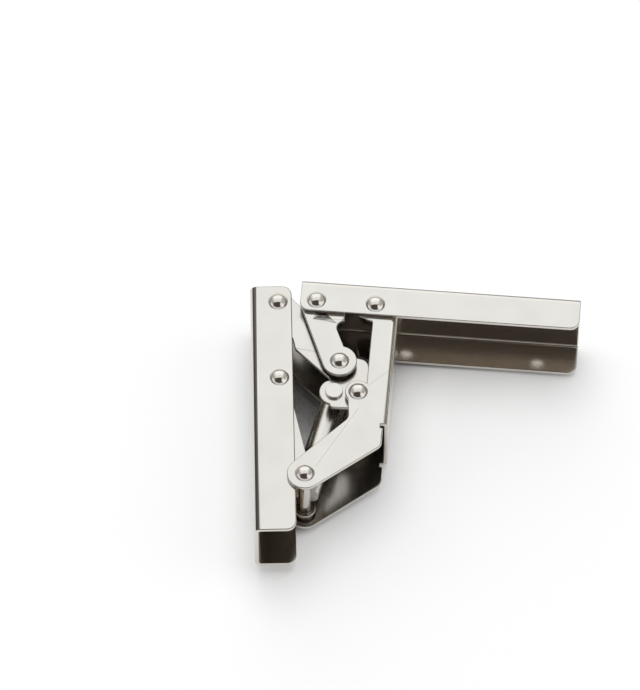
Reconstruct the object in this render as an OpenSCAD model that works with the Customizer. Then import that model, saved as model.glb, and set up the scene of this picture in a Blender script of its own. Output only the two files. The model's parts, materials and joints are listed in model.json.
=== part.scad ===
// Concealed lid hinge, closed, lying on its side with every pivot axis along Z.
// The origin is on the box arm's mounting face, midway between its two screw holes.
// +X points from the box wall into the box, +Y towards the lid, and z = 0 is the middle plane.

/* [Sheet metal] */
// Thickness of every folded arm and blanked link
sheet = 1.5; // [1.0:0.1:1.8]
// Outside radius of both arms' folds
fold_r = 2.3; // [1.9:0.1:2.4]
// Outside radius of the knee link's fold
knee_fold_r = 2.0; // [1.9:0.1:3.0]
// Running gap between neighbouring sheets
sheet_gap = 0.1; // [0.05:0.05:0.3]

/* [Arms] */
// Length of the box arm
box_arm_len = 102.3; // [92:0.1:140]
// Depth of the box arm, from its mounting face to its free edges
box_arm_depth = 14.8; // [13:0.1:20]
// Length of the lid arm
lid_arm_len = 100.4; // [92:0.1:140]
// Depth of the lid arm, from its mounting face to its free edges
lid_arm_depth = 13.2; // [13:0.1:20]
// Overall width of the lid arm across its flanges
lid_arm_w = 31; // [27:0.1:44]
// Corner radius on the free edges of both arms
arm_corner_r = 3.5; // [1:0.1:5]
// Angle by which the closed lid arm dips below square to the box arm
lid_tilt = 6; // [2:0.5:8]
// Length of the slots beside the lid arm's web at its pivot end
slot_len = 12.6; // [12.4:0.1:17]

/* [Screw holes] */
// Diameter of the screw holes
screw_hole_d = 4.8; // [3:0.1:6]
// Distance from an arm's pivot end to its first screw hole
screw_first = 38; // [34:0.5:42]
// Spacing of an arm's two screw holes
screw_pitch = 48; // [30:0.5:50]

/* [Pivots in the closed pose] */
// Mounting face to the box arm's two pivots
pivot_setback = 9.9; // [9:0.1:10.5]
// Box arm's end to its swing pivot
swing_pivot_end = 6.6; // [6:0.1:9]
// Swing pivot to guide pivot, along the box arm
wall_pivot_pitch = 32.3; // [30:0.1:36]
// Swing pivot to the lid arm's near pivot, along X
near_pivot_x = 13.8; // [13:0.1:15]
// Swing pivot to the lid arm's near pivot, down along Y
near_pivot_drop = 1.7; // [0.5:0.1:3]
// Near pivot to far pivot, along the lid arm
lid_pivot_pitch = 21.2; // [20.5:0.1:22]
// Lid arm's end to its near pivot
near_pivot_end = 5.8; // [5:0.1:7]
// Lid arm's free edge to its pivot line
lid_pivot_edge = 4.6; // [4.3:0.1:4.8]
// Swing pivot to the middle pivot, along X
middle_x = 21.5; // [20:0.1:23]
// Swing pivot to the middle pivot, down along Y
middle_drop = 26.7; // [25:0.1:28]
// Swing pivot to the elbow, along X
elbow_x = 27.8; // [26.5:0.1:29]
// Swing pivot to the elbow, down along Y
elbow_drop = 39.9; // [38.5:0.1:41]
// Swing pivot to the spring pin, along X
spring_pin_x = 19.3; // [18:0.1:20]
// Swing pivot to the spring pin, down along Y
spring_pin_drop = 37.9; // [37:0.1:39]
// Swing pivot to the foot pin, down along Y
foot_drop = 73.6; // [70:0.1:78]

/* [Rivets and pins] */
// Diameter of the domed rivet heads
rivet_head_d = 7; // [6:0.1:8.5]
// Height of the domed rivet heads
rivet_head_h = 2; // [1.2:0.1:2.8]
// Diameter of the rivet shanks
rivet_d = 4; // [3:0.1:4.8]
// Diameter of the closed rivet tails
tail_d = 5.6; // [5:0.1:7]
// Height of the closed rivet tails
tail_h = 0.8; // [0.5:0.1:1.2]
// Diameter of the foot pin
foot_pin_d = 4.7; // [3.5:0.1:5]
// Diameter of the spring pin
spring_pin_d = 4.5; // [3.5:0.1:5]
// Diameter of the spring pin's flat heads
spring_head_d = 6.3; // [5.5:0.1:7.5]
// Height of the spring pin's flat heads
spring_head_h = 1.2; // [0.6:0.1:1.4]
// Radial clearance of every pin and rivet in its holes
pin_clear = 0.05; // [0.02:0.01:0.1]
// Diameter of the spacer washers at the middle pivot and the elbow
spacer_d = 8; // [6:0.1:9.5]
// Wall of the small spacer washers on the foot pin
foot_spacer_wall = 0.6; // [0.4:0.1:1]
// Gap between those washers and the box arm's free edges
foot_spacer_gap = 0.3; // [0.2:0.1:1]

/* [Links] */
// Half width of the swing link's upper bar
swing_r = 5.5; // [5:0.1:6]
// Radius of the swing link round the elbow
swing_elbow_r = 5.5; // [5:0.1:6]
// Radius of the swing link's lobe round the spring pin
spring_lobe_r = 5.3; // [4.8:0.1:6]
// Radius of the tie link round the middle pivot
tie_end_r = 6.2; // [5:0.1:7]
// Radius of the tie link round the lid arm's near pivot
tie_head_r = 5.8; // [5:0.1:6.2]
// Tie link's centre line to its straight inner edge
tie_waist = 3.35; // [3:0.05:4]
// Reach of the tie link's head along the lid arm
tie_head_reach = 10.6; // [8:0.1:11.5]
// Half width of the guide link
guide_half_w = 2.65; // [2.5:0.05:4]
// Radius of the guide link's round ends
guide_end_r = 3.9; // [3.5:0.1:4.2]
// Radius of the knee link round the lid arm's far pivot
knee_head_r = 6.5; // [5:0.1:6.5]
// Far pivot to the outside of the knee link's folded back
knee_back = 8.4; // [7.5:0.1:9.5]
// Width of the knee link's upper leg
knee_leg_w = 8.9; // [8:0.1:9.5]
// Length of the knee link's folded back below the lid arm's pivot line
knee_back_len = 50.3; // [46:0.1:54]
// Radius of the knee link round the elbow
knee_elbow_r = 4.65; // [4.2:0.05:5.2]
// Radius of the knee link round the foot pin
knee_foot_r = 6.3; // [5.5:0.1:7]

/* [Spring strut] */
// Outside diameter of the sleeve
sleeve_d = 10.4; // [9.5:0.1:12]
// Wall of the sleeve
sleeve_wall = 0.5; // [0.4:0.1:0.8]
// Spring pin's axis to the sleeve's mouth
sleeve_len = 20.5; // [18:0.1:21]
// Solid metal between the spring pin's hole and the sleeve's floor
sleeve_floor_wall = 3.2; // [2:0.1:3.5]
// Diameter of the plunger's head
plunger_d = 10; // [8.5:0.1:11]
// Foot pin's axis to the plunger's shoulder
plunger_head = 9; // [7:0.1:9.5]
// Diameter of the plunger's guide rod
rod_d = 4.6; // [3:0.1:4.8]
// Length of guide rod inside the sleeve when closed
rod_engagement = 7.2; // [5:0.1:8]
// Wire diameter of the spring
spring_wire = 1.2; // [0.8:0.1:1.2]
// Mean diameter of the spring's coils
spring_mean_d = 7.2; // [6.8:0.1:7.4]
// Turns of the spring, closed end turns included
spring_turns = 9; // [6:1:10]

/* [Hidden] */
$fn = 64;
nickel = "#d8d5cd";
nickel_bright = "#e6e3dc";
spring_steel = "#9d9a94";

// Height of the outer face of a sheet level: 0 lid arm, 1 outer links, 2 box arm, 3 inner links
function face(level) = lid_arm_w / 2 - level * (sheet + sheet_gap);
// Height of the inner face of a sheet level
function under(level) = face(level) - sheet;

// Pivots in plan
box_top = screw_first + screw_pitch / 2;
swing_pivot = [pivot_setback, box_top - swing_pivot_end];
guide_pivot = swing_pivot + [0, -wall_pivot_pitch];
near_pivot = swing_pivot + [near_pivot_x, -near_pivot_drop];
middle_pivot = swing_pivot + [middle_x, -middle_drop];
elbow_pivot = swing_pivot + [elbow_x, -elbow_drop];
spring_pivot = swing_pivot + [spring_pin_x, -spring_pin_drop];
foot_spacer_r = foot_pin_d / 2 + pin_clear + foot_spacer_wall;
foot_pivot = [box_arm_depth + foot_spacer_gap + foot_spacer_r, swing_pivot.y - foot_drop];

// Plan point from lid-arm coordinates: u along the arm and v square to it, from the near pivot
along_lid = [cos(lid_tilt), -sin(lid_tilt)];
across_lid = [sin(lid_tilt), cos(lid_tilt)];
function lid_at(u, v) = near_pivot + u * along_lid + v * across_lid;
far_pivot = lid_at(lid_pivot_pitch, 0);

// Plan point from tie-link coordinates: a from the middle pivot to the near pivot, c to its right
tie_len = norm(near_pivot - middle_pivot);
along_tie = (near_pivot - middle_pivot) / tie_len;
across_tie = [along_tie.y, -along_tie.x];
function tie_at(a, c) = middle_pivot + a * along_tie + c * across_tie;

// Lid arm: mounting face and web above the pivot line
lid_face = lid_arm_depth - lid_pivot_edge;
lid_screw_u = screw_first - near_pivot_end;
slot_ease = 0.05;
// Half width of the tongue that the two slots leave, clear of the rivet tails
tongue_half_w = under(1) - tail_h - 2 * sheet_gap;

// Knee link: its back and the straight edges of its upper leg, in lid-arm coordinates
knee_u = lid_pivot_pitch + knee_back;
knee_edge_u = knee_u - sheet - 0.2;
knee_leg_u = knee_u - knee_leg_w;
knee_top_v = 3.2;
knee_heel_v = -knee_back_len - 8.1;
knee_lip_u = lid_pivot_pitch - 5.6;
knee_lip_v = -5.2;
relief_w = 1.5;
relief_depth = 1.2;

// Tie link: lower and upper edge of its head, and where its waist meets that head
tie_lip_v = -7;
tie_lip_top_v = -1.5;
tie_lip_a = (tie_lip_v - (tie_at(0, tie_waist) - near_pivot) * across_lid) / (along_tie * across_lid);

// Spring strut, along its own axis from the spring pin to the foot pin
strut_len = norm(foot_pivot - spring_pivot);
strut_angle = atan2(foot_pivot.y - spring_pivot.y, foot_pivot.x - spring_pivot.x);
sleeve_floor = spring_pin_d / 2 + pin_clear + sleeve_floor_wall;
shoulder = strut_len - plunger_head;
spring_end_gap = 0.05;

// One unit vector along v
function unit(v) = v / norm(v);
// Arc of radius r that rounds the corner b between the points a and d
function corner_arc(a, b, d, r) =
    let (
        u = unit(a - b),
        w = unit(d - b),
        half = acos(u * w) / 2,
        centre = b + unit(u + w) * r / sin(half),
        from = b + u * r / tan(half) - centre,
        start = atan2(from.y, from.x),
        turn = sign(u.y * w.x - u.x * w.y) * (180 - 2 * half),
        steps = max(3, ceil(abs(turn) / 9))
    )
    [for (k = [0:steps]) centre + r * [cos(start + turn * k / steps), sin(start + turn * k / steps)]];
// Closed outline through corners [point, radius], with radius 0 for a sharp corner
function rounded(corners) =
    let (n = len(corners))
    [for (i = [0:n - 1])
        each corners[i][1] == 0
            ? [corners[i][0]]
            : corner_arc(corners[(i + n - 1) % n][0], corners[i][0], corners[(i + 1) % n][0], corners[i][1])];
// Point where a line from p touches the circle of radius r round c, on the given side
function touch(p, c, r, side) =
    let (d = norm(p - c), a = atan2(p.y - c.y, p.x - c.x) + side * acos(r / d))
    c + r * [cos(a), sin(a)];

// Points on the circle of radius r round c, between two angles
function arc(c, r, from, to) =
    let (steps = max(3, ceil(abs(to - from) / 6)))
    [for (k = [0:steps]) c + r * [cos(from + (to - from) * k / steps), sin(from + (to - from) * k / steps)]];
// Angle square to the line that touches two circles on the given side
function tangent_angle(p, rp, q, rq, side) =
    atan2(q.y - p.y, q.x - p.x) + side * acos((rp - rq) / norm(q - p));

// Strip of even width with round ends
module bar(p, q, r) {
    side = r * [-unit(q - p).y, unit(q - p).x];
    polygon([p + side, p - side, q - side, q + side]);
    for (end = [p, q]) translate(end) circle(r);
}

// Rectangle whose two corners at x = 0 are folded round
module fold_profile(depth, width, r) {
    translate([r, -width / 2]) square([depth - r, width]);
    translate([0, r - width / 2]) square([depth, width - 2 * r]);
    for (s = [-1, 1]) translate([r, s * (width / 2 - r)]) circle(r);
}

// Folded channel with its web's outside on x = 0, running from y = 0 to y = -length
module channel(depth, width, length, r) {
    rotate([90, 0, 0]) linear_extrude(length) difference() {
        fold_profile(depth, width, r);
        translate([sheet, 0]) fold_profile(depth, width - 2 * sheet, r - sheet);
    }
}

// Vertical hole through everything at a plan point
module bore(p, d) {
    translate([p.x, p.y, -lid_arm_w]) cylinder(r = d / 2 + pin_clear, h = 2 * lid_arm_w);
}

// One blanked link on a sheet level, above (side 1) or below (side -1) the middle plane
module plate(level, side) {
    mirror([0, 0, side < 0 ? 1 : 0]) translate([0, 0, under(level)]) linear_extrude(sheet) children();
}

// Domed head standing on z = 0
module dome() {
    dome_r = (pow(rivet_head_d / 2, 2) + pow(rivet_head_h, 2)) / (2 * rivet_head_h);
    intersection() {
        translate([0, 0, rivet_head_h - dome_r]) sphere(dome_r);
        cylinder(d = rivet_head_d, h = rivet_head_h);
    }
}

// Domed rivet at a plan point: head on the height top, shank down to bottom, closed tail if it has one
module rivet(p, side, top, bottom, has_tail = true) {
    color(nickel_bright) mirror([0, 0, side < 0 ? 1 : 0]) translate([p.x, p.y, 0]) {
        translate([0, 0, top]) dome();
        translate([0, 0, bottom]) cylinder(d = rivet_d, h = top - bottom);
        if (has_tail) translate([0, 0, bottom - tail_h]) cylinder(d = tail_d, h = tail_h);
    }
}

// Inner half of a parted rivet, in one link's hole and closed under it
module stud(p, side, level) {
    color(nickel_bright) mirror([0, 0, side < 0 ? 1 : 0]) translate([p.x, p.y, 0]) {
        translate([0, 0, under(level)]) cylinder(d = rivet_d, h = sheet);
        translate([0, 0, under(level) - tail_h]) cylinder(d = tail_d, h = tail_h);
    }
}

// Spacer washer that fills the box arm's sheet level under an outer link
module spacer(p, side, r, hole_d) {
    color(nickel) mirror([0, 0, side < 0 ? 1 : 0]) translate([p.x, p.y, under(2)]) difference() {
        cylinder(r = r, h = sheet + sheet_gap);
        translate([0, 0, -sheet]) cylinder(r = hole_d / 2 + pin_clear, h = 4 * sheet);
    }
}

// Frame of the strut: local X runs from the spring pin to the foot pin
module strut_frame() {
    translate([spring_pivot.x, spring_pivot.y, 0]) rotate([0, 0, strut_angle]) children();
}

// Cylinder along the strut between two distances from the spring pin
module strut_rod(from, to, d) {
    translate([from, 0, 0]) rotate([0, 90, 0]) cylinder(d = d, h = to - from);
}

module box_arm() {
    color(nickel) difference() {
        intersection() {
            translate([0, box_top, 0]) channel(box_arm_depth, 2 * face(2), box_arm_len, fold_r);
            translate([0, 0, -lid_arm_w]) linear_extrude(2 * lid_arm_w) polygon(rounded([
                [[0, box_top], 0],
                [[0, box_top - box_arm_len], 0],
                [[box_arm_depth, box_top - box_arm_len], arm_corner_r],
                [[box_arm_depth, box_top], arm_corner_r]
            ]));
        }
        bore(swing_pivot, rivet_d);
        bore(guide_pivot, rivet_d);
        for (s = [-1, 1])
            translate([-sheet, s * screw_pitch / 2, 0]) rotate([0, 90, 0]) cylinder(d = screw_hole_d, h = 3 * sheet);
    }
}

// Folded over its whole length; two slots beside the web let the tie link's plates pass
module lid_arm() {
    color(nickel) difference() {
        intersection() {
            translate(lid_at(-near_pivot_end, lid_face)) rotate([0, 0, -90 - lid_tilt]) mirror([0, 1, 0])
                channel(lid_arm_depth, lid_arm_w, lid_arm_len, fold_r);
            translate([0, 0, -lid_arm_w]) linear_extrude(2 * lid_arm_w) polygon(rounded([
                [lid_at(-near_pivot_end, lid_face + sheet), 0],
                [lid_at(-near_pivot_end, -lid_pivot_edge), arm_corner_r],
                [lid_at(lid_arm_len - near_pivot_end, -lid_pivot_edge), arm_corner_r],
                [lid_at(lid_arm_len - near_pivot_end, lid_face + sheet), 0]
            ]));
        }
        for (s = [0, 1]) mirror([0, 0, s])
            translate(lid_at(-2 * near_pivot_end, lid_face - fold_r - slot_ease)) rotate([0, 0, -lid_tilt])
            translate([0, 0, tongue_half_w])
            cube([near_pivot_end + slot_len, lid_arm_depth, under(0) + slot_ease - tongue_half_w]);
        bore(near_pivot, rivet_d);
        bore(far_pivot, rivet_d);
        for (u = [lid_screw_u, lid_screw_u + screw_pitch])
            translate(lid_at(u, lid_face + sheet)) rotate([90, 0, -lid_tilt]) cylinder(d = screw_hole_d, h = 3 * sheet);
    }
}

// Plan of the big bent link: folded back, head, elbow and foot
module knee_outline() {
    heel = lid_at(knee_edge_u, knee_heel_v);
    inner_x = elbow_pivot.x - 3.7;
    crook = [inner_x, elbow_pivot.y - 11];
    polygon(rounded([
        [heel, 3.5],
        [lid_at(knee_edge_u, -knee_back_len), 0],
        [lid_at(knee_u, -knee_back_len), 0],
        [lid_at(knee_u, knee_top_v), 3],
        [lid_at(lid_pivot_pitch, knee_top_v), 0],
        [lid_at(knee_lip_u, 0), 0],
        [lid_at(knee_lip_u, knee_lip_v), 1.5],
        [lid_at(knee_leg_u, knee_lip_v), 2],
        [lid_at(knee_leg_u, -elbow_drop + near_pivot_drop + 5), 0],
        [[inner_x, elbow_pivot.y], 0],
        [crook, 3.5],
        [touch(crook, foot_pivot, knee_foot_r, 1), 0],
        [touch(heel, foot_pivot, knee_foot_r, -1), 0]
    ]));
    translate(far_pivot) circle(knee_head_r);
    translate(elbow_pivot) circle(knee_elbow_r);
    translate(foot_pivot) circle(knee_foot_r);
}

module knee_link() {
    color(nickel) difference() {
        intersection() {
            translate(lid_at(knee_u, knee_top_v)) rotate([0, 0, -lid_tilt]) mirror([1, 0, 0])
                channel(2 * lid_arm_len, 2 * face(1), 2 * lid_arm_len, knee_fold_r);
            translate([0, 0, -lid_arm_w]) linear_extrude(2 * lid_arm_w) knee_outline();
        }
        for (p = [far_pivot, elbow_pivot]) bore(p, rivet_d);
        bore(foot_pivot, foot_pin_d);
        translate(lid_at(knee_u, -knee_back_len)) rotate([0, 0, -lid_tilt])
            translate([-sheet - relief_depth, -relief_w / 2, -lid_arm_w]) cube([2 * sheet + relief_depth, relief_w, 2 * lid_arm_w]);
    }
}

// Plan of the swing link: bar to the middle pivot, plate to the elbow, lobe round the spring pin
module swing_outline() {
    bar(swing_pivot, middle_pivot, swing_r);
    polygon(rounded([
        [swing_pivot + swing_r * [-0.6, -0.8], 0],
        [[box_arm_depth - 0.2, swing_pivot.y - 13.5], 3],
        [[box_arm_depth + 1, swing_pivot.y - 19.5], 2],
        [spring_pivot + [-1.8, 6], 0],
        [spring_pivot, 0],
        [spring_pivot + [-2.3, -6.4], 1.5],
        [spring_pivot + [4.5, -6.9], 1],
        [elbow_pivot + [0, -swing_elbow_r], 0],
        [elbow_pivot + [swing_elbow_r, 0], 0],
        [[elbow_pivot.x + 3.9, middle_pivot.y + 1.8], 3.5],
        [middle_pivot + swing_r * [0.78, 0.62], 0]
    ]));
    translate(elbow_pivot) circle(swing_elbow_r);
    translate(spring_pivot) circle(spring_lobe_r);
}

module swing_link(side) {
    color(nickel) difference() {
        plate(3, side) swing_outline();
        for (p = [swing_pivot, middle_pivot, elbow_pivot]) bore(p, rivet_d);
        bore(spring_pivot, spring_pin_d);
    }
}

// Plan of the tie link: round end, straight waist, and a head that widens under the lid arm
module tie_outline() {
    left = tangent_angle(middle_pivot, tie_end_r, near_pivot, tie_head_r, 1);
    waist = tie_at(sqrt(pow(tie_end_r, 2) - pow(tie_waist, 2)), tie_waist);
    waist_angle = atan2(waist.y - middle_pivot.y, waist.x - middle_pivot.x);
    throat = tie_at(tie_lip_a, tie_waist);
    tip = lid_at(tie_head_reach, tie_lip_v);
    tip_top = lid_at(tie_head_reach, tie_lip_top_v);
    head_angle = asin(tie_lip_top_v / tie_head_r) - lid_tilt;
    head_start = near_pivot + tie_head_r * [cos(head_angle), sin(head_angle)];
    polygon(concat(
        arc(middle_pivot, tie_end_r, left, waist_angle + 360),
        corner_arc(waist, throat, tip, 3),
        corner_arc(throat, tip, tip_top, 1.5),
        corner_arc(tip, tip_top, head_start, 2),
        arc(near_pivot, tie_head_r, head_angle, left)
    ));
}

module tie_link(side) {
    color(nickel) difference() {
        plate(1, side) tie_outline();
        for (p = [near_pivot, middle_pivot]) bore(p, rivet_d);
    }
}

// Slim link from the box arm's guide pivot to the foot pin
module guide_link(side) {
    color(nickel) difference() {
        plate(3, side) {
            bar(guide_pivot, foot_pivot, guide_half_w);
            for (p = [guide_pivot, foot_pivot]) translate(p) circle(guide_end_r);
        }
        bore(guide_pivot, rivet_d);
        bore(foot_pivot, foot_pin_d);
    }
}

// Flat-headed pin through both swing links and the sleeve's eye
module spring_pin() {
    color(nickel_bright) translate([spring_pivot.x, spring_pivot.y, 0]) {
        cylinder(d = spring_pin_d, h = 2 * face(3), center = true);
        for (s = [0, 1]) mirror([0, 0, s]) translate([0, 0, face(3)]) cylinder(d = spring_head_d, h = spring_head_h);
    }
}

// Through pin with a domed head on each cheek of the knee link
module foot_pin() {
    color(nickel_bright) translate([foot_pivot.x, foot_pivot.y, 0]) {
        cylinder(d = foot_pin_d, h = 2 * face(1), center = true);
        for (s = [0, 1]) mirror([0, 0, s]) translate([0, 0, face(1)]) dome();
    }
}

// Drawn tube with a solid round eye on the spring pin
module spring_sleeve() {
    color(nickel_bright) strut_frame() difference() {
        union() {
            strut_rod(0, sleeve_len, sleeve_d);
            intersection() {
                strut_rod(-sleeve_d, sleeve_floor, sleeve_d);
                cylinder(d = sleeve_d, h = 2 * sleeve_d, center = true);
            }
        }
        strut_rod(sleeve_floor, sleeve_len + sheet, sleeve_d - 2 * sleeve_wall);
        cylinder(r = spring_pin_d / 2 + pin_clear, h = 2 * sleeve_d, center = true);
    }
}

// Turned plunger: head with a half-round saddle on the foot pin, and a guide rod in the spring
module spring_plunger() {
    color(nickel) strut_frame() difference() {
        union() {
            strut_rod(shoulder, strut_len, plunger_d);
            strut_rod(sleeve_len - rod_engagement, shoulder + sheet, rod_d);
        }
        translate([strut_len, 0, 0]) cylinder(r = foot_pin_d / 2 + pin_clear, h = 2 * plunger_d, center = true);
    }
}

// Compression spring round the guide rod, with one closed turn at each end
module strut_spring() {
    steps = 14;
    sides = 6;
    rings = spring_turns * steps;
    first = sleeve_floor + spring_end_gap + spring_wire / 2;
    travel = shoulder - sleeve_floor - 2 * spring_end_gap - spring_wire;
    closed = 1.04 * spring_wire;
    function rise(t) =
        t < 1 ? closed * t
        : t > spring_turns - 1 ? travel - closed * (spring_turns - t)
        : closed + (t - 1) * (travel - 2 * closed) / (spring_turns - 2);
    function wire_point(ring, k) =
        let (
            turn = 360 * ring / steps,
            tilt = 360 * k / sides,
            r = spring_mean_d / 2 + spring_wire / 2 * cos(tilt)
        )
        [first + rise(ring / steps) + spring_wire / 2 * sin(tilt), r * cos(turn), r * sin(turn)];
    points = [for (ring = [0:rings]) for (k = [0:sides - 1]) wire_point(ring, k)];
    walls = [for (ring = [0:rings - 1]) for (k = [0:sides - 1])
        let (a = ring * sides + k, b = ring * sides + (k + 1) % sides)
        [a, b, b + sides, a + sides]];
    start_cap = [[for (k = [sides - 1:-1:0]) k]];
    end_cap = [[for (k = [0:sides - 1]) rings * sides + k]];
    color(spring_steel) strut_frame() polyhedron(points, concat(walls, start_cap, end_cap), convexity = 10);
}

box_arm();
lid_arm();
knee_link();
swing_link(1);  // swing_link_upper
swing_link(-1);  // swing_link_lower
tie_link(1);  // tie_link_upper
tie_link(-1);  // tie_link_lower
guide_link(1);  // guide_link_upper
guide_link(-1);  // guide_link_lower
spring_pin();
foot_pin();
spring_sleeve();
spring_plunger();
strut_spring();
rivet(swing_pivot, 1, face(2), under(3) - sheet_gap);  // swing_rivet_upper
rivet(swing_pivot, -1, face(2), under(3) - sheet_gap);  // swing_rivet_lower
rivet(guide_pivot, 1, face(2), under(2), false);  // guide_rivet_upper
rivet(guide_pivot, -1, face(2), under(2), false);  // guide_rivet_lower
stud(guide_pivot, 1, 3);  // guide_stud_upper
stud(guide_pivot, -1, 3);  // guide_stud_lower
rivet(near_pivot, 1, face(0), under(0), false);  // near_rivet_upper
rivet(near_pivot, -1, face(0), under(0), false);  // near_rivet_lower
stud(near_pivot, 1, 1);  // near_stud_upper
stud(near_pivot, -1, 1);  // near_stud_lower
rivet(far_pivot, 1, face(0), under(1) - sheet_gap);  // far_rivet_upper
rivet(far_pivot, -1, face(0), under(1) - sheet_gap);  // far_rivet_lower
rivet(middle_pivot, 1, face(1), under(3) - sheet_gap);  // middle_rivet_upper
rivet(middle_pivot, -1, face(1), under(3) - sheet_gap);  // middle_rivet_lower
rivet(elbow_pivot, 1, face(1), under(3) - sheet_gap);  // elbow_rivet_upper
rivet(elbow_pivot, -1, face(1), under(3) - sheet_gap);  // elbow_rivet_lower
spacer(middle_pivot, 1, spacer_d / 2, rivet_d);  // middle_spacer_upper
spacer(middle_pivot, -1, spacer_d / 2, rivet_d);  // middle_spacer_lower
spacer(elbow_pivot, 1, spacer_d / 2, rivet_d);  // elbow_spacer_upper
spacer(elbow_pivot, -1, spacer_d / 2, rivet_d);  // elbow_spacer_lower
spacer(foot_pivot, 1, foot_spacer_r, foot_pin_d);  // foot_spacer_upper
spacer(foot_pivot, -1, foot_spacer_r, foot_pin_d);  // foot_spacer_lower
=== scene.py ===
import json
import math

import bpy
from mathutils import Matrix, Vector


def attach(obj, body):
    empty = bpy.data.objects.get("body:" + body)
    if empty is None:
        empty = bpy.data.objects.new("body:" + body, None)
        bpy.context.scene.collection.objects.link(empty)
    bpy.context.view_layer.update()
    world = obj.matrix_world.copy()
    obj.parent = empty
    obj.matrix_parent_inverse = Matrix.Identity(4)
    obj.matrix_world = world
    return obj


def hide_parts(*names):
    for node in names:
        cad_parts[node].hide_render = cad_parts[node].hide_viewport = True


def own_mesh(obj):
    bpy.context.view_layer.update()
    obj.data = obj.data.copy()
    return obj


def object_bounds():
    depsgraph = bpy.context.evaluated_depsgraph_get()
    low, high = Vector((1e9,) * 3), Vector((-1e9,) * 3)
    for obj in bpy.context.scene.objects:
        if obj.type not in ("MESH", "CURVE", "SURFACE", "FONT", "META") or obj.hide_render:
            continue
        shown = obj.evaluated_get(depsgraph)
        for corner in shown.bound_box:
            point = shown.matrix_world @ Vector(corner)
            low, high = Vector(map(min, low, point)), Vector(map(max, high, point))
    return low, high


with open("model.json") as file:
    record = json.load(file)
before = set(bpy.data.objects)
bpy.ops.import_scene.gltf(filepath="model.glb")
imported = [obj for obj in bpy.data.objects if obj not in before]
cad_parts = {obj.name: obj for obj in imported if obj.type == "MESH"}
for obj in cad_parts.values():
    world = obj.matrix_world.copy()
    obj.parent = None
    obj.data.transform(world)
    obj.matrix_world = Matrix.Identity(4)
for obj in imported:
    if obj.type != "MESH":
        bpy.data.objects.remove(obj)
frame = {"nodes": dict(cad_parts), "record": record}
cad_low, cad_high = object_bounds()
nodes = frame["nodes"]

# The hinge lies on its side, and is looked down on from in front of its open corner.
# The camera stands about two metres away, so the arms' edges stay almost parallel.
AIM = Vector((0.02476, 0.04436, 0.0))
CAMERA_OFFSET = Vector((-0.02319, -1.11627, 1.71927))
PICTURE_PIXELS = 640
PIXEL_SIZE = 0.00036
SENSOR_WIDTH = 36.0
camera_data = bpy.data.cameras.new("camera")
camera_data.sensor_fit = "HORIZONTAL"
camera_data.sensor_width = SENSOR_WIDTH
camera_data.lens = SENSOR_WIDTH * CAMERA_OFFSET.length / (PICTURE_PIXELS * PIXEL_SIZE)
camera = bpy.data.objects.new("camera", camera_data)
camera.location = AIM + CAMERA_OFFSET
camera.rotation_mode = "QUATERNION"
camera.rotation_quaternion = (-CAMERA_OFFSET).to_track_quat("-Z", "Y")
bpy.context.scene.collection.objects.link(camera)
bpy.context.scene.camera = camera
bpy.context.scene.view_settings.view_transform = "Standard"

# A white table with a dull face, on which the lowest rivet heads rest.
# Its open shadows look softened, as in a tent of white cloth, and the camera and the metal see a share of
# even glow on it. Shade is painted into its colour and glow in the nooks that the links shut in.
TABLE_SIZE = 6.0
TABLE_WHITE = (0.88, 0.88, 0.88, 1.0)
TABLE_ROUGHNESS = 0.75
TABLE_SPECULAR = 0.2
TABLE_GLOW = (0.95, 0.95, 0.95, 1.0)
TABLE_GLOW_SHARE = 0.24
NOOK_PAINTED_SHADE = (0.06, 0.052, 0.047, 1.0)
NOOK_REACH = 0.045
NOOK_SAMPLES = 16
NOOK_SHUT = 0.12
NOOK_OPEN = 0.38


def new_finish(name):
    """A new material, with its node tree and its shader."""
    finish = bpy.data.materials.new(name)
    finish.use_nodes = True
    return finish, finish.node_tree, finish.node_tree.nodes["Principled BSDF"]


def add_node(tree, kind, inputs, **choices):
    """Adds a node, with each of the given inputs linked to a socket or set to a plain value."""
    node = tree.nodes.new("ShaderNode" + kind)
    for name, choice in choices.items():
        setattr(node, name, choice)
    for name, value in inputs.items():
        if isinstance(value, bpy.types.NodeSocket):
            tree.links.new(value, node.inputs[name])
        else:
            node.inputs[name].default_value = value
    return node


def combine(tree, operation, first, second=0.0):
    """Joins two values, each a socket or a plain number."""
    return add_node(tree, "Math", {0: first, 1: second}, operation=operation).outputs[0]


bpy.ops.mesh.primitive_plane_add(size=TABLE_SIZE, location=(AIM.x, AIM.y, cad_low.z))
table = bpy.context.object
table.name = "table"
table_paint, table_tree, table_shader = new_finish("table_white")
table_shader.inputs["Roughness"].default_value = TABLE_ROUGHNESS
table_shader.inputs["Specular IOR Level"].default_value = TABLE_SPECULAR
table_glow = add_node(table_tree, "Emission", {})
# Painted shade: where ambient occlusion finds the links close above, the table's colour and glow go to a dark
# tone.
table_nook = add_node(table_tree, "AmbientOcclusion", {"Distance": NOOK_REACH}, samples=NOOK_SAMPLES)
table_open = add_node(
    table_tree, "MapRange", {"Value": table_nook.outputs["AO"], "From Min": NOOK_SHUT, "From Max": NOOK_OPEN})
table_colours = (
    (table_shader.inputs["Base Color"], TABLE_WHITE),
    (table_glow.inputs["Color"], TABLE_GLOW),
)
for painted, white in table_colours:
    tones = {"Factor": table_open.outputs["Result"], "A": NOOK_PAINTED_SHADE, "B": white}
    table_tree.links.new(add_node(table_tree, "Mix", tones, data_type="RGBA").outputs["Result"], painted)
table_ray = add_node(table_tree, "LightPath", {})
camera_ray = table_ray.outputs["Is Camera Ray"]
mirrored_ray = table_ray.outputs["Is Glossy Ray"]
table_seen = combine(table_tree, "MAXIMUM", camera_ray, mirrored_ray)
table_face = add_node(table_tree, "MixShader", {
    "Fac": combine(table_tree, "MULTIPLY", table_seen, TABLE_GLOW_SHARE),
    1: table_shader.outputs[0],
    2: table_glow.outputs[0],
})
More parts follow.
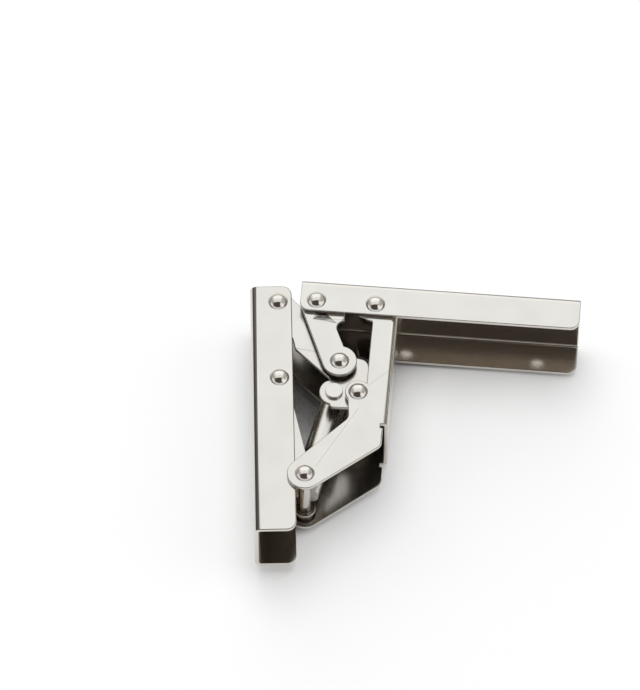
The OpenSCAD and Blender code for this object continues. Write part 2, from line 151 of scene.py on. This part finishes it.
table_tree.links.new(table_face.outputs[0], table_tree.nodes["Material Output"].inputs["Surface"])
table.data.materials.append(table_paint)

# Soft studio light: a wide white screen behind and above, dimmer towards its sides, a card on each side in
# front, a low pale wall along the front and sides, and the dark room above it. The metal shows these.
SCREEN_LEVEL = 1.01
SCREEN_LOW_LEVEL = 1.32
SCREEN_SIDE_SHARE = 0.38
SCREEN_TINT = (0.92, 0.966, 1.0, 1.0)
CARD_LEVEL = 1.15
WALL_LEVEL = 0.8
ROOM_LEVEL = 0.085
ROOM_TINT = (1.0, 0.86, 0.78, 1.0)
BACKDROP_WHITE = (1.0, 1.0, 1.0, 1.0)
DIFFUSE_SHARE = 0.3
# Each edge is where a light fades in or out, along x, y or z of the direction in which it is seen.
HORIZON_EDGE = (0.05, 0.28)
SCREEN_FRONT_EDGE = (-0.18, -0.02)
SCREEN_LEFT_EDGE = (-0.78, -0.40)
SCREEN_RIGHT_EDGE = (0.70, 0.34)
SCREEN_TOP_EDGE = (0.74, 0.94)
CARD_BACK_EDGE = (-0.08, -0.25)
CARD_FRONT_EDGE = (-0.84, -0.62)
RIGHT_CARD_EDGE = (0.30, 0.48)
RIGHT_CARD_TOP_EDGE = (0.97, 0.86)
LEFT_CARD_EDGE = (-0.68, -0.88)
WALL_FOOT_EDGE = (0.10, 0.22)
WALL_TOP_EDGE = (0.52, 0.38)
WALL_BACK_EDGE = (0.20, -0.05)


def fade(tree, across, edge, low=0.0, high=1.0):
    """Smooth change from low to high while a value goes from one end of an edge to the other."""
    spread = {"Value": across, "From Min": edge[0], "From Max": edge[1], "To Min": low, "To Max": high}
    return add_node(tree, "MapRange", spread, interpolation_type="SMOOTHSTEP").outputs["Result"]


def product(tree, first, *others):
    """Multiplies values, each a socket or a plain number."""
    for other in others:
        first = combine(tree, "MULTIPLY", first, other)
    return first


world = bpy.data.worlds.new("studio")
bpy.context.scene.world = world
world.use_nodes = True
studio = world.node_tree
studio.nodes.clear()
sky_direction = add_node(studio, "TexCoord", {}).outputs["Generated"]
sky_x, sky_y, sky_z = add_node(studio, "SeparateXYZ", {0: sky_direction}).outputs
horizon = fade(studio, sky_z, HORIZON_EDGE)
screen = product(
    studio,
    horizon,
    fade(studio, sky_y, SCREEN_FRONT_EDGE),
    fade(studio, sky_x, SCREEN_LEFT_EDGE, SCREEN_SIDE_SHARE, 1.0),
    fade(studio, sky_x, SCREEN_RIGHT_EDGE, SCREEN_SIDE_SHARE, 1.0),
    fade(studio, sky_z, SCREEN_TOP_EDGE, SCREEN_LOW_LEVEL, SCREEN_LEVEL),
)
right_card = product(studio, fade(studio, sky_x, RIGHT_CARD_EDGE), fade(studio, sky_z, RIGHT_CARD_TOP_EDGE))
left_card = fade(studio, sky_x, LEFT_CARD_EDGE)
cards = product(
    studio,
    combine(studio, "MAXIMUM", right_card, left_card),
    fade(studio, sky_y, CARD_BACK_EDGE),
    fade(studio, sky_y, CARD_FRONT_EDGE),
    horizon,
    CARD_LEVEL,
)
low_wall = product(
    studio,
    fade(studio, sky_z, WALL_FOOT_EDGE),
    fade(studio, sky_z, WALL_TOP_EDGE, 0.0, WALL_LEVEL),
    fade(studio, sky_y, WALL_BACK_EDGE),
)
sky_light = combine(studio, "ADD", screen, combine(studio, "MAXIMUM", cards, low_wall))
sky_ray = add_node(studio, "LightPath", {})
kept_back = combine(studio, "MULTIPLY", sky_ray.outputs["Is Diffuse Ray"], 1.0 - DIFFUSE_SHARE)
sky_light = product(studio, sky_light, combine(studio, "SUBTRACT", 1.0, kept_back))
sky = add_node(studio, "Background", {"Color": SCREEN_TINT, "Strength": sky_light})
room = add_node(studio, "Background", {"Color": ROOM_TINT, "Strength": ROOM_LEVEL})
lit_room = add_node(studio, "AddShader", {0: sky.outputs[0], 1: room.outputs[0]})
backdrop = add_node(studio, "Background", {"Color": BACKDROP_WHITE, "Strength": 1.0})
surroundings = add_node(studio, "MixShader", {
    "Fac": sky_ray.outputs["Is Camera Ray"],
    1: lit_room.outputs[0],
    2: backdrop.outputs[0],
})
add_node(studio, "OutputWorld", {"Surface": surroundings.outputs[0]})

# A broad softbox overhead and three low ones, behind and on both sides, light the table.
# The hinge then throws only faint shadows outwards and keeps its inside dark.
LAMP_SIZE = 1.8
LAMP_AIM = Vector((0.03, 0.03, 0.0))
LAMPS = (
    # name, place, watts
    ("top_softbox", Vector((0.0, 0.35, 1.9)), 26.0),
    ("back_softbox", Vector((-0.3, 1.5, 1.0)), 7.0),
    ("left_softbox", Vector((-1.6, 0.2, 0.9)), 8.0),
    ("right_softbox", Vector((1.6, 0.1, 0.9)), 8.0),
)
for lamp_name, lamp_place, watts in LAMPS:
    lamp_data = bpy.data.lights.new(lamp_name, "AREA")
    lamp_data.shape = "DISK"
    lamp_data.size = LAMP_SIZE
    lamp_data.energy = watts
    lamp = bpy.data.objects.new(lamp_name, lamp_data)
    lamp.location = lamp_place
    lamp.rotation_mode = "QUATERNION"
    lamp.rotation_quaternion = (LAMP_AIM - lamp_place).to_track_quat("-Z", "Y")
    lamp.visible_glossy = False
    bpy.context.scene.collection.objects.link(lamp)

# A small dark flag behind the gap between the arms, kept out of the picture.
# It throws no shadow: only the metal near the gap mirrors it, as painted shade in place of the bright screen.
FLAG_Y = 0.0665
FLAG_LEFT, FLAG_RIGHT = 0.0130, 0.0235
FLAG_FOOT, FLAG_TOP = -0.0175, 0.0100
FLAG_SHADE_TONE = (0.05, 0.045, 0.04, 1.0)
flag_mesh = bpy.data.meshes.new("gap_flag")
flag_corners = [
    (FLAG_LEFT, FLAG_Y, FLAG_FOOT),
    (FLAG_RIGHT, FLAG_Y, FLAG_FOOT),
    (FLAG_RIGHT, FLAG_Y, FLAG_TOP),
    (FLAG_LEFT, FLAG_Y, FLAG_TOP),
]
flag_mesh.from_pydata(flag_corners, [], [(0, 1, 2, 3)])
gap_flag_shade, flag_tree, flag_shader = new_finish("gap_flag_shade")
flag_shader.inputs["Base Color"].default_value = FLAG_SHADE_TONE
flag_shader.inputs["Roughness"].default_value = 1.0
flag_shader.inputs["Specular IOR Level"].default_value = 0.0
flag_mesh.materials.append(gap_flag_shade)
flag = bpy.data.objects.new("gap_flag", flag_mesh)
flag.visible_camera = False
flag.visible_diffuse = False
flag.visible_shadow = False
bpy.context.scene.collection.objects.link(flag)

# Box arm: a channel folded from 1.5 mm steel strip and nickel plated to a satin finish.
# It is screwed through its web to the box wall, and its rolled edges are eased by tumbling.
EDGE_EASE = 0.00035
WELD_REACH = 2e-6
FLAT_ANGLE = 0.4
SHARP_ANGLE = 32
EASE_STEPS = 3
CLOUD_SCALE = 70.0
CLOUD_DETAIL = 3.0
CLOUD_RANGE = (0.35, 0.65)
CLOUD_DIP = (0.955, 0.952, 0.945)
# Painted shade on leaning folds and edges and on inner faces: its warmth, how it fades in and out with lean,
# and the depths over which inner faces take it.
FOLD_SHADE_WARMTH = (1.0, 0.97, 0.93)
FOLD_FADE = 8
FOLD_END = (52, 42)
INSIDE_SHADE_WARMTH = (1.0, 0.96, 0.92)
INSIDE_DEPTH = (-0.003, -0.008)
GRAIN_ALONG = 40.0
GRAIN_ACROSS = 1600.0
GRAIN_HEIGHT = 0.000006
GRAIN_SPREAD = 0.12
GRAIN_DETAIL = 2.0
GRAIN_RANGE = (0.3, 0.7)
X_AXIS, Y_AXIS = 0, 1
NICKEL_TONE = (0.69, 0.655, 0.60)


def ease_edges(node_name, width=EDGE_EASE):
    """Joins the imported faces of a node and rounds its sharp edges."""
    piece = nodes[node_name]
    weld = piece.modifiers.new("joined_faces", "WELD")
    weld.merge_threshold = WELD_REACH
    flats = piece.modifiers.new("whole_flats", "DECIMATE")
    flats.decimate_type = "DISSOLVE"
    flats.angle_limit = math.radians(FLAT_ANGLE)
    bevel = piece.modifiers.new("eased_edges", "BEVEL")
    bevel.width = width
    bevel.segments = EASE_STEPS
    bevel.limit_method = "ANGLE"
    bevel.angle_limit = math.radians(SHARP_ANGLE)
    bevel.use_clamp_overlap = False
    bevel.harden_normals = True


def darken(tree, colour, where, share, warmth):
    """Paints shade: multiplies a colour by a share of itself, a little warmer, where a mask is 1."""
    tone = (*(share * part for part in warmth), 1.0)
    darker = add_node(
        tree, "Mix", {"Factor": where, "A": colour, "B": tone}, data_type="RGBA", blend_type="MULTIPLY")
    return darker.outputs["Result"]


def lean_edge(start, end):
    """The upright part of a face's direction at two angles of lean, in degrees."""
    return math.cos(math.radians(start)), math.cos(math.radians(end))


def plated_nickel(name, tone, roughness, grain_axis, grain=0.3, fold_shade=1.0, fold_from=10, inside_shade=1.0):
    """Nickel plate over rolled steel: cloudy patches of tone and faint rolling lines along one axis.
    Shade is painted into its colour where a fold or an eased edge leans away from the flat, from fold_from
    degrees on, and on the faces turned to the inside."""
    finish, tree, shader = new_finish(name)
    shader.inputs["Metallic"].default_value = 1.0
    place = add_node(tree, "TexCoord", {})

    patches = {"Vector": place.outputs["Object"], "Scale": CLOUD_SCALE, "Detail": CLOUD_DETAIL}
    clouds = add_node(tree, "TexNoise", patches)
    shade = add_node(tree, "ValToRGB", {"Fac": clouds.outputs["Fac"]})
    dip, plain = shade.color_ramp.elements
    dip.position, plain.position = CLOUD_RANGE
    dip.color = (*(value * share for value, share in zip(tone, CLOUD_DIP)), 1.0)
    plain.color = (*tone, 1.0)

    facing = add_node(tree, "SeparateXYZ", {0: place.outputs["Normal"]}).outputs["Z"]
    depth = add_node(tree, "SeparateXYZ", {0: place.outputs["Object"]}).outputs["Z"]
    upright = combine(tree, "ABSOLUTE", facing)
    leaning = fade(tree, upright, lean_edge(fold_from, fold_from + FOLD_FADE))
    folded = product(tree, leaning, fade(tree, upright, lean_edge(*FOLD_END)))
    inward = add_node(tree, "MapRange", {
        "Value": product(tree, facing, depth),
        "From Min": INSIDE_DEPTH[0],
        "From Max": INSIDE_DEPTH[1],
    })
    colour = darken(tree, shade.outputs["Color"], folded, fold_shade, FOLD_SHADE_WARMTH)
    colour = darken(tree, colour, inward.outputs["Result"], inside_shade, INSIDE_SHADE_WARMTH)
    tree.links.new(colour, shader.inputs["Base Color"])

    grain_scale = [GRAIN_ALONG if axis == grain_axis else GRAIN_ACROSS for axis in range(3)]
    stretch = add_node(tree, "Mapping", {"Vector": place.outputs["Object"], "Scale": grain_scale})
    rolling = {"Vector": stretch.outputs["Vector"], "Scale": 1.0, "Detail": GRAIN_DETAIL}
    lines = add_node(tree, "TexNoise", rolling)
    satin = add_node(tree, "MapRange", {
        "Value": lines.outputs["Fac"],
        "From Min": GRAIN_RANGE[0],
        "From Max": GRAIN_RANGE[1],
        "To Min": roughness * (1 - GRAIN_SPREAD),
        "To Max": roughness * (1 + GRAIN_SPREAD),
    })
    tree.links.new(satin.outputs["Result"], shader.inputs["Roughness"])
    bump = add_node(
        tree, "Bump", {"Height": lines.outputs["Fac"], "Strength": grain, "Distance": GRAIN_HEIGHT})
    tree.links.new(bump.outputs["Normal"], shader.inputs["Normal"])
    return finish


def dress(node_name, finish):
    """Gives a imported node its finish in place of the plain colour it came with."""
    piece = nodes[node_name]
    piece.data.materials.clear()
    piece.data.materials.append(finish)


# Its folds carry a deep painted shade.
box_arm_nickel = plated_nickel("box_arm_satin_nickel", NICKEL_TONE, 0.17, Y_AXIS, fold_shade=0.16, fold_from=5)
ease_edges("box_arm")
dress("box_arm", box_arm_nickel)

# Lid arm: a wider channel of the same plated strip, screwed through its web to the lid.
# Its rolling lines run along its own length.
# Painted shade on its folds and on the faces turned to its inside.
lid_arm_nickel = plated_nickel(
    "lid_arm_satin_nickel", NICKEL_TONE, 0.17, X_AXIS, fold_shade=0.35, fold_from=24, inside_shade=0.72)
ease_edges("lid_arm")
dress("lid_arm", lid_arm_nickel)

# Knee link: blanked from sheet and folded along its straight back, then plated.
# It carries the lid arm's far pivot, the elbow and the foot pin, and its upper cheek has two long scratches.
SCRATCH_WIDTH = 0.0002
SCRATCH_TONE = (0.54, 0.51, 0.47, 1.0)
SCRATCH_LEVEL = 0.0137
SCRATCHES = (
    # start and end in plan, on the upper cheek
    ((0.0409, 0.0174), (0.0486, 0.0238)),
    ((0.0218, -0.0158), (0.0378, 0.0086)),
)
# Painted shade on its folds and edges and on the faces turned to its inside.
knee_nickel = plated_nickel(
    "knee_link_satin_nickel", NICKEL_TONE, 0.19, Y_AXIS, fold_shade=0.5, inside_shade=0.45)
ease_edges("knee_link")
dress("knee_link", knee_nickel)
knee_tree = knee_nickel.node_tree


def scratch_mask(start, end):
    """A value of 1 along one straight scratch of the knee link's finish."""
    along = Vector(end) - Vector(start)
    middle = (Vector(start) + Vector(end)) / 2
    unit = along.normalized()
    from_x = combine(knee_tree, "SUBTRACT", knee_x, middle.x)
    from_y = combine(knee_tree, "SUBTRACT", knee_y, middle.y)
    run_x, run_y = product(knee_tree, from_x, unit.x), product(knee_tree, from_y, unit.y)
    off_x, off_y = product(knee_tree, from_x, unit.y), product(knee_tree, from_y, unit.x)
    run = combine(knee_tree, "ABSOLUTE", combine(knee_tree, "ADD", run_x, run_y))
    off = combine(knee_tree, "ABSOLUTE", combine(knee_tree, "SUBTRACT", off_y, off_x))
    inside = combine(knee_tree, "LESS_THAN", run, along.length / 2)
    near = combine(knee_tree, "LESS_THAN", off, SCRATCH_WIDTH / 2)
    return product(knee_tree, inside, near)


knee_place = add_node(knee_tree, "TexCoord", {}).outputs["Object"]
knee_x, knee_y, knee_z = add_node(knee_tree, "SeparateXYZ", {0: knee_place}).outputs
first_scratch, second_scratch = (scratch_mask(start, end) for start, end in SCRATCHES)
scratched = product(
    knee_tree,
    combine(knee_tree, "MAXIMUM", first_scratch, second_scratch),
    combine(knee_tree, "GREATER_THAN", knee_z, SCRATCH_LEVEL),
)
knee_colour = knee_tree.nodes["Principled BSDF"].inputs["Base Color"]
knee_plain = knee_colour.links[0].from_socket
knee_worn = add_node(
    knee_tree, "Mix", {"Factor": scratched, "A": knee_plain, "B": SCRATCH_TONE}, data_type="RGBA")
knee_tree.links.new(knee_worn.outputs["Result"], knee_colour)

# Inner links: flat blanks in pairs, one above and one below the strut, tumbled and plated.
# The press leaves their sheared edges duller than their faces.
EDGE_ROUGHNESS = 0.5
SHEARED_LEAN = (0.45, 0.15)
# Painted shade on their eased edges and on the faces turned to the inside.
link_nickel = plated_nickel("link_satin_nickel", NICKEL_TONE, 0.18, Y_AXIS, fold_shade=0.6, inside_shade=0.42)
link_tree = link_nickel.node_tree
link_normal = add_node(link_tree, "TexCoord", {}).outputs["Normal"]
link_facing = add_node(link_tree, "SeparateXYZ", {0: link_normal}).outputs["Z"]
link_sheared = add_node(link_tree, "MapRange", {
    "Value": combine(link_tree, "ABSOLUTE", link_facing),
    "From Min": SHEARED_LEAN[0],
    "From Max": SHEARED_LEAN[1],
})
link_roughness = link_tree.nodes["Principled BSDF"].inputs["Roughness"]
link_satin = link_roughness.links[0].from_socket
link_dulled = add_node(
    link_tree, "Mix", {"Factor": link_sheared.outputs["Result"], "A": link_satin, "B": EDGE_ROUGHNESS})
link_tree.links.new(link_dulled.outputs["Result"], link_roughness)
for link in ("swing_link", "tie_link", "guide_link"):
    for side in ("upper", "lower"):
        ease_edges(f"{link}_{side}")
        dress(f"{link}_{side}", link_nickel)

# Rivets, studs and pins: cold-headed steel with polished domes, bright nickel plated.
# Their shanks pass through the sheets that they join. The spring pin has a flat head with an eased rim.
PIN_RIM_EASE = 0.00025
bright_nickel = plated_nickel("rivet_bright_nickel", (0.71, 0.68, 0.63), 0.10, X_AXIS, grain=0.05)
RIVETS = (
    "swing_rivet", "guide_rivet", "guide_stud", "near_rivet",
    "near_stud", "far_rivet", "middle_rivet", "elbow_rivet",
)
for rivet in RIVETS:
    for side in ("upper", "lower"):
        dress(f"{rivet}_{side}", bright_nickel)
for pin in ("spring_pin", "foot_pin"):
    dress(pin, bright_nickel)
ease_edges("spring_pin", PIN_RIM_EASE)

# Spacer washers: turned steel rings with a dull plate.
# They lie round the pins and rivets and keep the outer links clear of the inner ones.
spacer_steel = plated_nickel("spacer_turned_steel", (0.56, 0.54, 0.51), 0.33, X_AXIS)
for spacer in ("middle_spacer", "elbow_spacer", "foot_spacer"):
    for side in ("upper", "lower"):
        dress(f"{spacer}_{side}", spacer_steel)

# Spring strut: a drawn sleeve with a round eye on the spring pin, and a turned plunger on the foot pin.
# The sleeve is satin plated, and the plunger keeps the lines of its turning.
sleeve_nickel = plated_nickel("sleeve_drawn_nickel", (0.66, 0.63, 0.58), 0.27, Y_AXIS, grain=0.15)
dress("spring_sleeve", sleeve_nickel)
plunger_steel = plated_nickel("plunger_turned_steel", (0.57, 0.55, 0.52), 0.28, X_AXIS)
dress("spring_plunger", plunger_steel)

# Strut spring: hard-drawn wire wound over the plunger's rod, with one closed turn at each end.
# It stands on the sleeve's floor. The real one shortens as the lid opens; this one is built at one length and
# rides with the sleeve.
WIRE_D = 0.0012
COIL_D = 0.0072
COIL_TURNS = 9
COIL_START = 0.00615
COIL_TRAVEL = 0.021586
CLOSED_PITCH = 0.001248
OPEN_PITCH = (COIL_TRAVEL - 2 * CLOSED_PITCH) / (COIL_TURNS - 2)
STEPS_PER_TURN = 40
WIRE_SIDES = 12
UP = Vector((0.0, 0.0, 1.0))
joints = {joint["name"]: Vector(joint["pos_m"]) for joint in frame["record"]["behaviour"]["joints"]}
strut_foot = joints["foot_saddle"]
strut_eye = joints["spring_eye"]
strut_axis = (strut_foot - strut_eye).normalized()
strut_side = UP.cross(strut_axis)
wire_points = []
wire_faces = []
for step in range(COIL_TURNS * STEPS_PER_TURN + 1):
    turns = step / STEPS_PER_TURN
    open_turns = min(max(turns - 1, 0.0), COIL_TURNS - 2.0)
    rise = CLOSED_PITCH * (turns - open_turns) + OPEN_PITCH * open_turns
    angle = 2 * math.pi * turns
    outward = math.cos(angle) * strut_side + math.sin(angle) * UP
    middle = strut_eye + (COIL_START + rise) * strut_axis + COIL_D / 2 * outward
    for corner in range(WIRE_SIDES):
        around = 2 * math.pi * corner / WIRE_SIDES
        wire_points.append(middle + WIRE_D / 2 * (math.cos(around) * outward + math.sin(around) * strut_axis))
    if step:
        last_ring = (step - 1) * WIRE_SIDES
        ring = step * WIRE_SIDES
        for corner in range(WIRE_SIDES):
            after = (corner + 1) % WIRE_SIDES
            wire_faces.append((last_ring + corner, last_ring + after, ring + after, ring + corner))
wire_faces.append(tuple(range(WIRE_SIDES - 1, -1, -1)))
wire_faces.append(tuple(range(len(wire_points) - WIRE_SIDES, len(wire_points))))
spring_mesh = bpy.data.meshes.new("strut_spring_wire")
spring_mesh.from_pydata(wire_points, [], wire_faces)
spring_mesh.shade_smooth()
spring_mesh.materials.append(plated_nickel("spring_drawn_wire", (0.5, 0.485, 0.46), 0.3, X_AXIS))
spring_coil = bpy.data.objects.new("strut_spring_wire", spring_mesh)
bpy.context.scene.collection.objects.link(spring_coil)
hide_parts("strut_spring")
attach(spring_coil, "sleeve")
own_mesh(spring_coil)
